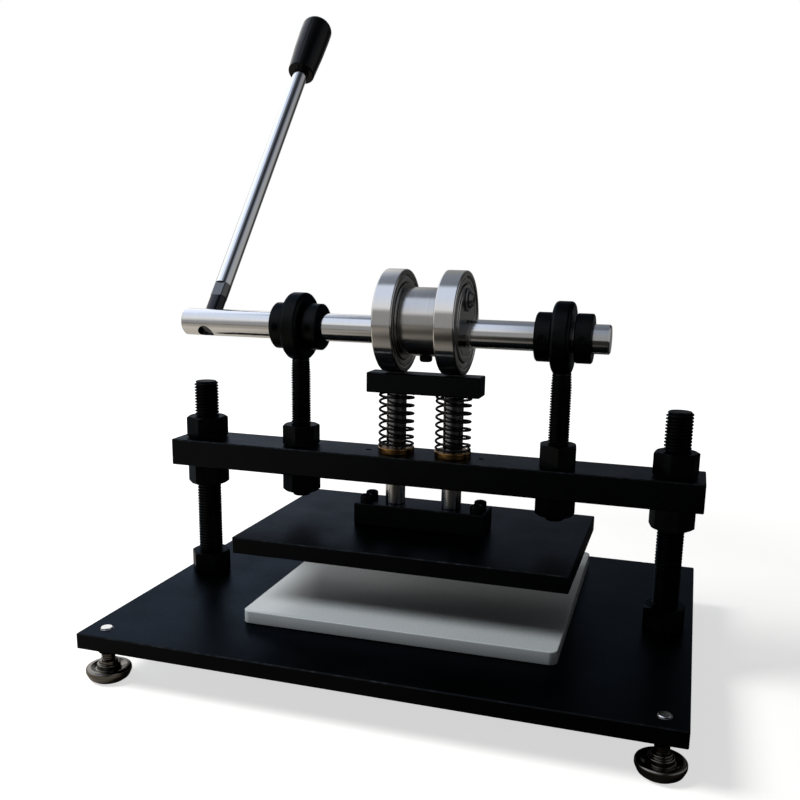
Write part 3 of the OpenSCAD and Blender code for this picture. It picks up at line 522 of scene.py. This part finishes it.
def board_plastic(name, col):
    """Milky cutting board: satin, faintly clouded, with fine crossing scuffs."""
    mat, n, bsdf = material(name)
    place = n.lathe_place()
    cloud = n.noise(place, 14.0, detail=3.0)
    scuffs = 0.0
    for turn, stretch in ((0.5, 1.0), (-0.9, 0.8), (1.4, 1.3)):
        across = n.add("ShaderNodeMapping", {"Vector": place, "Rotation": (0, 0, turn),
                                             "Scale": (8, 420 * stretch, 8)}).outputs[0]
        line = n.spread(n.noise(across, 1.0, detail=2.0), 0.66, 0.74, 0.0, 1.0)
        scuffs = n.math("MAXIMUM", line, scuffs)
    grain = n.noise(place, 1100.0, detail=2.0)
    base = n.mix(cloud, shade(col.board, 0.94), shade(col.board, 1.04))
    n.put(bsdf.inputs["Base Color"], n.mix(n.math("MULTIPLY", scuffs, 0.18), base, shade(col.board, 0.7)))
    n.put(bsdf.inputs["Roughness"], n.spread(grain, 0.3, 0.7, 0.22, 0.34))
    bsdf.inputs["Specular IOR Level"].default_value = 0.5
    relief = n.math("SUBTRACT", grain, scuffs)
    n.put(bsdf.inputs["Normal"], n.bump(relief, strength=0.08, distance=0.0003))
    return mat


class Builder:
    """Shared by the operators: where the settings are, and how an operator ends."""

    bl_options = {"REGISTER", "UNDO"}

    def execute(self, context):
        self.build(context.scene.die_press_sizes, context.scene.die_press_colours)
        return {"FINISHED"}


class DIEPRESS_OT_posts(Builder, bpy.types.Operator):
    """Threaded posts that carry the crossbeam"""

    bl_idname = "diepress.posts"
    bl_label = "Threaded posts"

    def build(self, size, col):
        finish = black_steel("post_black", col, lathe=True)
        for side, x in (("left", -POST_X), ("right", POST_X)):
            post = threaded(POST_D, size.post_pitch / MM, POST_LOW, POST_HIGH)
            piece(f"threaded_post_{side}", [(post, at(x, POST_Y, 0))], finish, "frame", [f"{side}_post"])


class DIEPRESS_OT_eye_bolts(Builder, bpy.types.Operator):
    """Eye bolts that the cross shaft turns in"""

    bl_idname = "diepress.eye_bolts"
    bl_label = "Eye bolts"

    def build(self, size, col):
        finish = black_steel("eye_black", col, lathe=True)
        half, edge = EYE_BODY_W / 2, size.eye_edge / MM
        bore, rim = EYE_BORE / 2, EYE_BODY_D / 2
        section = rounded([(bore, -half), (rim, -half), (rim, half), (bore, half)], [0.6, edge, edge, 0.6])
        for side, x in (("left", -EYE_X), ("right", EYE_X)):
            eye = ring(section, size.steps)
            shank = threaded(EYE_THREAD_D, size.eye_pitch / MM, EYE_THREAD_END, EYE_ROOT_Z,
                             neck=((EYE_THREAD_D - EYE_ROOT_D) / 2, EYE_NECK_L))
            piece(f"eye_bolt_{side}", [(eye, at(x, POST_Y, SHAFT_Z, ALONG_X)), (shank, at(x, POST_Y, 0))],
                  finish, "frame", [f"{side}_eye_bolt"])


class DIEPRESS_OT_feet(Builder, bpy.types.Operator):
    """Levelling feet: a bright pad on a threaded stud"""

    bl_idname = "diepress.feet"
    bl_label = "Levelling feet"

    def build(self, size, col):
        finish = turned_metal("foot_nickel", col.nickel, rough=0.20, lines=0.05, marks=900.0,
                              zones=((BASE_TOP, col.ground),))
        section = rounded(FOOT_SECTION, FOOT_ROUNDING)
        for end, y in (("front", -FOOT_Y), ("rear", FOOT_Y)):
            for side, x in (("left", -FOOT_X), ("right", FOOT_X)):
                pad = turned(section, size.steps)
                stud = threaded(STUD_D, size.stud_pitch / MM, STUD_LOW, STUD_TOP, steps=36)
                piece(f"foot_{end}_{side}", [(pad, at(x, y, 0)), (stud, at(x, y, 0))], finish,
                      f"{end}_{side}_leveller", [f"{end}_{side}_foot"])


class DIEPRESS_OT_springs(Builder, bpy.types.Operator):
    """Return springs with closed ends, wound at one fixed length"""

    bl_idname = "diepress.springs"
    bl_label = "Return springs"

    def build(self, size, col):
        finish = spring_wire("spring_dark", col)
        wire = size.wire / MM
        rise = wire * CLOSED_RISE
        free = SPRING_TOP - SPRING_LOW - wire - 2 * CLOSED_TURNS * rise
        open_part = (size.spring_turns, free / size.spring_turns)
        parts = [(CLOSED_TURNS, rise), open_part, (CLOSED_TURNS, rise)]
        for side, x, turn in zip(("left", "right"), (-COLUMN_X, COLUMN_X), SPRING_STARTS):
            coil = wound((SPRING_D - wire) / 2, wire / 2, parts)
            place = at(x, POST_Y, SPRING_LOW + wire / 2, Matrix.Rotation(math.radians(turn), 4, "Z"))
            obj = piece(f"coil_spring_{side}", [(coil, place)], finish, "frame", [f"{side}_spring"],
                        crease=60)
            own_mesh(obj)


class DIEPRESS_OT_guides(Builder, bpy.types.Operator):
    """Guide columns of the ram and the brass bushes that they slide in"""

    bl_idname = "diepress.guides"
    bl_label = "Guide columns and bushes"

    def build(self, size, col):
        # Above the bush tops the columns take a darker colour: painted shade from the coils round them
        steel = turned_metal("column_ground", col.column, rough=0.15, lines=0.02, uneven=0.04,
                             zones=((BUSH_TOP, col.spring_shade),))
        brass = turned_metal("bush_brass", col.brass, rough=0.26, lines=0.08, marks=900.0)
        r = COLUMN_D / 2
        low_end, high_end = COLUMN_LOW - SPIGOT_L, COLUMN_HIGH + SPIGOT_L
        bar = rounded([(0, low_end), (SPIGOT_R, low_end), (SPIGOT_R, COLUMN_LOW), (r, COLUMN_LOW),
                       (r, COLUMN_HIGH), (SPIGOT_R, COLUMN_HIGH), (SPIGOT_R, high_end), (0, high_end)],
                      [0, 0.5, 0, 0.5, 0.5, 0, 0.5, 0])
        seat = BUSH_TOP - FLANGE_H
        bore, body, flange = BUSH_BORE / 2, BUSH_D / 2, FLANGE_D / 2
        bush = rounded([(bore, BUSH_LOW), (body, BUSH_LOW), (body, seat), (flange, seat), (flange, BUSH_TOP),
                        (bore, BUSH_TOP)], [0.4, 0.6, 0, 0.5, 0.9, 0.6])
        for side, x in (("left", -COLUMN_X), ("right", COLUMN_X)):
            piece(f"column_{side}", [(turned(bar, size.steps), at(x, POST_Y, 0))], steel, "ram",
                  [f"{side}_guide_column"])
            piece(f"bush_{side}", [(ring(bush, size.steps), at(x, POST_Y, 0))], brass, "frame",
                  [f"{side}_guide_bush"])


class DIEPRESS_OT_lever(Builder, bpy.types.Operator):
    """Lever rod with wrench flats, and its grip"""

    bl_idname = "diepress.lever"
    bl_label = "Lever and grip"

    def build(self, size, col):
        lean = at(LEVER_X, POST_Y, SHAFT_Z, Matrix.Rotation(-math.radians(LEVER_LEAN), 4, "X"))
        neck, r, flat_end = LEVER_NECK_D / 2, LEVER_D / 2, LEVER_SHOULDER + FLAT_L
        section = rounded([(0, LEVER_TIP), (neck, LEVER_TIP), (neck, LEVER_SHOULDER), (r, LEVER_SHOULDER),
                           (r, flat_end), (r, flat_end + 0.01), (r, LEVER_END), (0, LEVER_END)],
                          [0, 0.6, 0, 0.9, 0, 0, 0.8, 0])
        rod = turned(section, size.steps)
        for v in rod.verts:
            if LEVER_SHOULDER - 0.001 < v.co.z < flat_end + 0.005:
                v.co.y = max(-FLAT_AF / 2, min(FLAT_AF / 2, v.co.y))
        zones = ((LEVER_SHOULDER, col.flats), (flat_end, col.chrome))
        chrome = turned_metal("lever_chrome", col.neck, rough=0.10, lines=0.0, marks=700.0, uneven=0.02,
                              zones=zones)
        piece("lever_bright_rod", [(rod, lean)], chrome, "lever", ["lever_rod"])
        small, big = GRIP_SMALL_D / 2, GRIP_D / 2
        bore, bore_end = r + GRIP_FIT_R, LEVER_END + GRIP_FIT_END
        section = rounded([(bore, GRIP_LOW), (small, GRIP_LOW), (big - GRIP_WAIST_IN, GRIP_WAIST_Z),
                           (big, GRIP_BELLY_Z), (big, GRIP_TOP - GRIP_CROWN), (0, GRIP_TOP)],
                          [0.4, 1.6, GRIP_CURVE, GRIP_CURVE, GRIP_DOME, 0], cuts=10)
        grip = turned([(0, bore_end), (bore, bore_end)] + section, size.steps)
        piece("grip_black", [(grip, lean)], grip_plastic("grip_gloss", col), "lever", ["lever_grip"])


class DIEPRESS_OT_bearings(Builder, bpy.types.Operator):
    """Rings and pressed shields of the two bearings"""

    bl_idname = "diepress.bearings"
    bl_label = "Bearing rings and shields"

    def build(self, size, col):
        steel = turned_metal("ring_ground", col.bearing, rough=0.13, lines=0.02, uneven=0.05)
        tin = turned_metal("shield_pressed", col.shield, rough=0.42, lines=0.08, marks=800.0)
        half, edge = BEARING_W / 2, size.ring_edge / MM
        rim, lip = BEARING_D / 2, OUTER_SHOULDER_D / 2
        bore, shoulder = BEARING_BORE / 2, INNER_SHOULDER_D / 2
        outer = rounded([(lip, -half), (rim, -half), (rim, half), (lip, half)], [0.9, edge, edge, 0.9])
        inner = rounded([(bore, -half), (shoulder, -half), (shoulder, half), (bore, half)],
                        [0.9, 0.4, 0.4, 0.9])
        face = half - SHIELD_SUNK
        near, far, back_face = SHIELD_IN_R, SHIELD_OUT_R, face - SHIELD_T
        step, groove, under = face - SHIELD_STEP, face - GROOVE_DEPTH, face - GROOVE_FLOOR
        land, wall = near + SHIELD_LAND, far - GROOVE_W
        sheet = [(near, step), (land, step), (land + SHIELD_RISE, face), (wall - GROOVE_SLOPE, face),
                 (wall, groove), (far, groove), (far, under), (wall - UNDER_SLOPE[0], under),
                 (wall - UNDER_SLOPE[1], back_face), (near, back_face)]
        sheet = rounded(sheet, [0.15, 0.3, 0.3, 0.3, 0.2, 0, 0, 0, 0, 0], cuts=3)
        for side, x in zip(("left", "right"), BEARING_X):
            place = at(x, POST_Y, HUB_Z, ALONG_X)
            back = place @ Matrix.Rotation(math.pi, 4, "X")
            piece(f"outer_ring_{side}", [(ring(outer, size.steps), place)], steel, f"{side}_roller",
                  [f"{side}_outer_ring"], crease=25)
            piece(f"shields_{side}", [(ring(sheet, size.steps), place), (ring(sheet, size.steps), back)], tin,
                  f"{side}_roller", [f"{side}_shields"], crease=25)
            piece(f"inner_ring_{side}", [(ring(inner, size.steps), place)], steel, "lever",
                  [f"{side}_inner_ring"], crease=25)


class DIEPRESS_OT_screws(Builder, bpy.types.Operator):
    """Socket screws on the ram block, and the lock screw under the hub"""

    bl_idname = "diepress.screws"
    bl_label = "Screws"

    def build(self, size, col):
        black = black_steel("screw_black", col, lathe=True)
        heads = [(socket_head(CAP_D, CAP_H, SOCKET_AF, SOCKET_DEPTH, CAP_EDGE, KNURLS, steps=4 * KNURLS),
                  at(x, POST_Y + y, BLOCK_TOP)) for x, y in BLOCK_SCREWS]
        piece("ram_block_screws", heads, black, "ram", ["block_screws"])
        down = Matrix.Rotation(math.pi, 4, "X")
        lock = socket_head(CAP_D, CAP_H, SOCKET_AF, SOCKET_DEPTH, LOCK_EDGE)
        piece("hub_screw", [(lock, at(0, POST_Y, LOCK_SEAT_Z, down))], black, "lever", ["hub_lock_screw"])


class DIEPRESS_OT_board(Builder, bpy.types.Operator):
    """White cutting board"""

    bl_idname = "diepress.board"
    bl_label = "Cutting board"

    def build(self, size, col):
        board = slab(BOARD_L, BOARD_W, BOARD_T, BOARD_R, size.board_edge / MM)
        turn = Matrix.Rotation(math.radians(BOARD_TURN), 4, "Z")
        piece("board_white", [(board, at(*BOARD_AT, BOARD_LOW, turn))], board_plastic("board_milky", col),
              "board", ["cutting_board"], crease=50)


class DIEPRESS_OT_carried_over(Builder, bpy.types.Operator):
    """Finishes for the solids that stay as they are"""

    bl_idname = "diepress.carried_over"
    bl_label = "Finishes of the carried-over solids"

    def build(self, size, col):
        plate = black_plate("plate_black", col)
        oxide = black_steel("fastener_black", col)
        hub_tone, washer_tone, screw_tone = (shade(base, by)[:3] for base, by in (
            (col.bearing, HUB_SHADE), (col.shield, WASHER_SHADE), (col.shield, SCREW_SHADE)))
        shaft = self.lengthwise("shaft_ground", col.ground, SHAFT_Z, rough=0.13, lines=0.01, uneven=0.03)
        hub = self.lengthwise("hub_turned", hub_tone, HUB_Z, rough=0.20, lines=0.05, uneven=0.06)
        grey = self.lengthwise("washer_grey", washer_tone, RETAIN_Z, rough=0.36, lines=0.05, marks=900.0)
        dark = self.lengthwise("screw_grey", screw_tone, RETAIN_Z, rough=0.3, lines=0.05, marks=900.0)
        brass = self.lengthwise("cage_brass", col.brass, HUB_Z, rough=0.3, lines=0.08)
        finishes = {
            plate: ("base_plate", "crossbeam", "pressure_bar", "ram_block", "press_plate"),
            oxide: ("foot_lock_nuts", "post_nuts_under_base", "post_nuts_on_base", "post_nuts_under_beam",
                    "post_nuts_on_beam", "eye_nuts_above_beam", "eye_nuts_below_beam", "left_outer_collar",
                    "left_inner_collar", "right_inner_collar", "right_outer_collar", "collar_set_screws"),
            grey: ("retaining_washers",),
            dark: ("retaining_screws",),
            shaft: ("cross_shaft",),
            hub: ("eccentric_hub", "left_bearing_balls", "right_bearing_balls"),
            brass: ("left_bearing_cage", "right_bearing_cage"),
        }
        for finish, names in finishes.items():
            for name in names:
                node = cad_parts[name]
                node.data.materials.clear()
                node.data.materials.append(finish)

    def lengthwise(self, name, base, height, **more):
        """Turned metal whose rings lie about a line along X at a height."""
        return turned_metal(name, base, lathe=False, centre=(0, POST_Y, height),
                            turn=Euler((0, math.pi / 2, 0)), **more)


class DIEPRESS_OT_stage(Builder, bpy.types.Operator):
    """Pale floor, soft studio light and the camera"""

    bl_idname = "diepress.stage"
    bl_label = "Studio"

    def build(self, size, col):
        scene = bpy.context.scene
        scene.view_settings.view_transform = "Standard"
        self.floor(col)
        self.world(scene)
        self.lamp("key", *KEY_LAMP)
        self.lamp("window", *WINDOW_LAMP)
        self.camera(scene)

    def floor(self, col):
        """A pale floor that keeps the shadow, and is darker and warmer in places where metal mirrors it."""
        bm = bmesh.new()
        bmesh.ops.create_grid(bm, x_segments=8, y_segments=8, size=FLOOR_REACH)
        mesh = bpy.data.meshes.new("studio_floor")
        bm.to_mesh(mesh)
        bm.free()
        obj = bpy.data.objects.new("studio_floor", mesh)
        bpy.context.scene.collection.objects.link(obj)
        mat, n, bsdf = material("floor_pale")
        grain = n.noise(n.object_place(), 60.0)
        path = n.add("ShaderNodeLightPath").outputs
        place = n.add("ShaderNodeSeparateXYZ", {"Vector": n.object_place()}).outputs
        dim = 0.0
        for axis, start, end, by in FLOOR_DIM:
            dim = n.math("ADD", n.spread(place[axis], start, end, 0.0, by), dim)
        unlit = n.math("MULTIPLY", path["Is Glossy Ray"], n.math("MINIMUM", dim, DIM_MOST))
        pale = n.mix(grain, shade(col.floor, 0.99), shade(col.floor, 1.01))
        warm = n.mix(path["Is Glossy Ray"], pale, FLOOR_TONE)
        n.put(bsdf.inputs["Base Color"], n.mix(unlit, warm, BLACK))
        bsdf.inputs["Roughness"].default_value = 0.9
        bsdf.inputs["Specular IOR Level"].default_value = 0.1
        away = n.add("ShaderNodeVectorMath", {0: n.object_place()}, operation="LENGTH").outputs["Value"]
        bsdf.inputs["Emission Color"].default_value = WHITE
        glow = n.spread(away, *GLOW_REACH, *FLOOR_GLOW)
        n.put(bsdf.inputs["Emission Strength"], n.math("MULTIPLY", path["Is Camera Ray"], glow))
        mesh.materials.append(mat)

    def world(self, scene):
        """White behind the object, faint light on matt things, and a plain room for metal to mirror. Each
        light of the room fades in between two limits of a direction."""
        world = bpy.data.worlds.new("studio_white")
        scene.world = world
        n = Nodes(world)
        path = n.add("ShaderNodeLightPath")
        way = n.add("ShaderNodeTexCoord").outputs["Generated"]
        part = n.add("ShaderNodeSeparateXYZ", {"Vector": way}).outputs
        back_left, front_left = (
            n.add("ShaderNodeVectorMath", {0: way, 1: toward}, operation="DOT_PRODUCT").outputs["Value"]
            for toward in (BACK_LEFT, FRONT_LEFT))
        window = n.spread(back_left, 0.47, 0.58, 0.0, WINDOW_LEVEL)
        window = n.math("MULTIPLY", window, n.spread(part["Z"], 0.2, 0.34, 0.0, 1.0))
        room = n.math("ADD", n.spread(back_left, -0.1, 0.45, ROOM_DARK, ROOM_LEFT), window)
        front = n.spread(part["Y"], 0.1, -0.3, 0.0, FRONT_LEVEL)
        front = n.math("MULTIPLY", front, n.spread(part["X"], 0.0, 0.25, 1.0, 0.05))
        strip = n.spread(part["X"], -0.13, -0.21, 0.0, STRIP_LEVEL)
        strip = n.math("MULTIPLY", strip, n.spread(part["Z"], 0.3, 0.5, 0.0, 1.0))
        strip = n.math("MULTIPLY", strip, n.spread(part["Y"], 0.1, -0.1, 0.0, 1.0))
        corner = n.spread(front_left, 0.8, 0.9, 0.0, CORNER_LEVEL)
        right_wall = n.spread(part["X"], 0.5, 0.75, 0.0, RIGHT_LEVEL)
        for light in (front, strip, corner, right_wall):
            room = n.math("MAXIMUM", room, light)
        shown = n.math("MAXIMUM", path.outputs["Is Glossy Ray"], path.outputs["Is Transmission Ray"])
        level = n.spread(shown, 0.0, 1.0, DIFFUSE_LEVEL, room)
        back = n.tree.nodes["Background"]
        tone = n.mix(n.spread(part["Z"], 0.45, 0.85, 0.0, 1.0), WHITE, OVERHEAD_TONE)
        n.put(back.inputs["Color"], n.mix(shown, WHITE, tone))
        n.put(back.inputs["Strength"], n.math("MAXIMUM", path.outputs["Is Camera Ray"], level))

    def lamp(self, name, place, span, power, tone):
        """A round soft lamp that metal doesn't mirror."""
        data = bpy.data.lights.new(name, "AREA")
        data.shape = "DISK"
        data.size = span * MM
        data.energy = power
        data.color = tone
        obj = bpy.data.objects.new(name, data)
        bpy.context.scene.collection.objects.link(obj)
        obj.location = Vector(place) * MM
        aim = Vector((0, 0, LAMP_AIM_Z)) * MM - obj.location
        obj.rotation_euler = aim.to_track_quat("-Z", "Y").to_euler()
        obj.visible_glossy = False

    def camera(self, scene):
        """The camera at the place and angle of the photograph."""
        yaw, pitch, roll = (math.radians(a) for a in (CAMERA_YAW, CAMERA_PITCH, CAMERA_ROLL))
        ahead = Vector((-math.sin(yaw) * math.cos(pitch), math.cos(yaw) * math.cos(pitch), math.sin(pitch)))
        right = Vector((math.cos(yaw), math.sin(yaw), 0))
        up = right.cross(ahead)
        across = right * math.cos(roll) + up * math.sin(roll)
        above = up * math.cos(roll) - right * math.sin(roll)
        data = bpy.data.cameras.new("camera")
        data.lens = CAMERA_LENS
        data.sensor_width = SENSOR_W
        data.shift_x, data.shift_y = CAMERA_SHIFT
        data.clip_start, data.clip_end = 0.01, 100.0
        obj = bpy.data.objects.new("camera", data)
        scene.collection.objects.link(obj)
        pose = Matrix((across, above, -ahead)).transposed().to_4x4()
        pose.translation = Vector(CAMERA_AT) * MM
        obj.matrix_world = pose
        scene.camera = obj


class DIEPRESS_PT_panel(bpy.types.Panel):
    """Sidebar panel with the sizes, the colours and the steps of the build"""

    bl_idname = "DIEPRESS_PT_panel"
    bl_label = "Die Press"
    bl_space_type = "VIEW_3D"
    bl_region_type = "UI"
    bl_category = "Die Press"

    def draw(self, context):
        for group in (context.scene.die_press_sizes, context.scene.die_press_colours):
            box = self.layout.box()
            for name in group.__annotations__:
                box.prop(group, name)
        for operator in OPERATORS:
            self.layout.operator(operator.bl_idname)


OPERATORS = (DIEPRESS_OT_posts, DIEPRESS_OT_eye_bolts, DIEPRESS_OT_feet, DIEPRESS_OT_springs,
             DIEPRESS_OT_guides, DIEPRESS_OT_lever, DIEPRESS_OT_bearings, DIEPRESS_OT_screws,
             DIEPRESS_OT_board, DIEPRESS_OT_carried_over, DIEPRESS_OT_stage)
CLASSES = (DiePressSizes, DiePressColours, *OPERATORS, DIEPRESS_PT_panel)


def register():
    for cls in CLASSES:
        bpy.utils.register_class(cls)
    bpy.types.Scene.die_press_sizes = PointerProperty(type=DiePressSizes)
    bpy.types.Scene.die_press_colours = PointerProperty(type=DiePressColours)


def unregister():
    del bpy.types.Scene.die_press_colours
    del bpy.types.Scene.die_press_sizes
    for cls in reversed(CLASSES):
        bpy.utils.unregister_class(cls)


def main():
    register()
    bpy.ops.diepress.posts()
    bpy.ops.diepress.eye_bolts()
    bpy.ops.diepress.feet()
    bpy.ops.diepress.springs()
    bpy.ops.diepress.guides()
    bpy.ops.diepress.lever()
    bpy.ops.diepress.bearings()
    bpy.ops.diepress.screws()
    bpy.ops.diepress.board()
    bpy.ops.diepress.carried_over()
    bpy.ops.diepress.stage()


if __name__ == "__main__":
    main()
